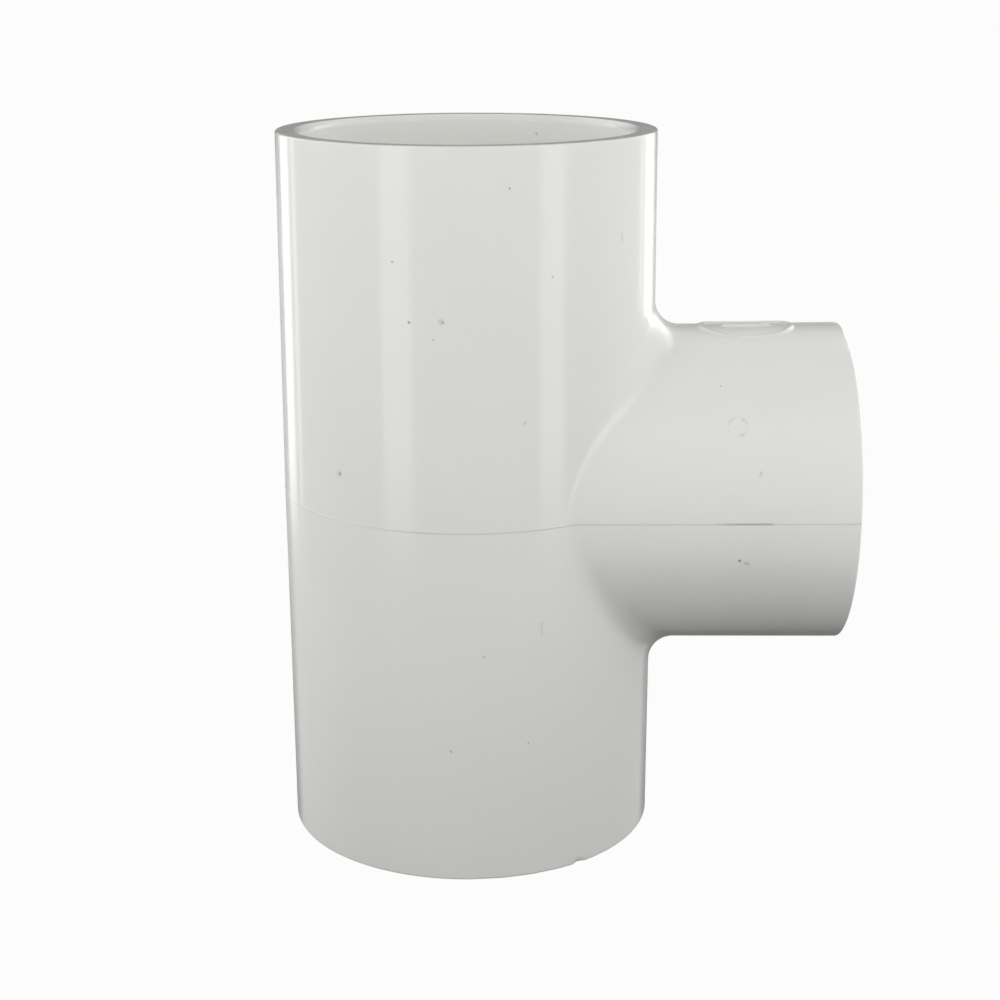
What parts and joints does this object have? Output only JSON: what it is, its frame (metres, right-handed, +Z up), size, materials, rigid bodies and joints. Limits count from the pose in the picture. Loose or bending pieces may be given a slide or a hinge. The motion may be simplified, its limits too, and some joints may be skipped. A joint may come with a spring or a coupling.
{
  "type": "pipe tee fitting",
  "caption": "Reducing tee for solvent-welded pipe: a straight run with a socket at each end and a smaller branch socket at right angles, in one hollow moulding.",
  "frame": {"origin": "centre of the lower run socket's mouth, which is also the middle of the ring that the fitting stands on", "axes": "+Z up along the run's axis to the upper socket, +X along the branch's axis out of its socket, +Y across the fitting"},
  "size_m": [0.1533, 0.1026, 0.1946],
  "materials": {
    "white_pvc": "moulded white PVC, semi-gloss, slightly cream"
  },
  "bodies": {
    "root": {"tee_body": "white_pvc"}
  },
  "joints": []
}
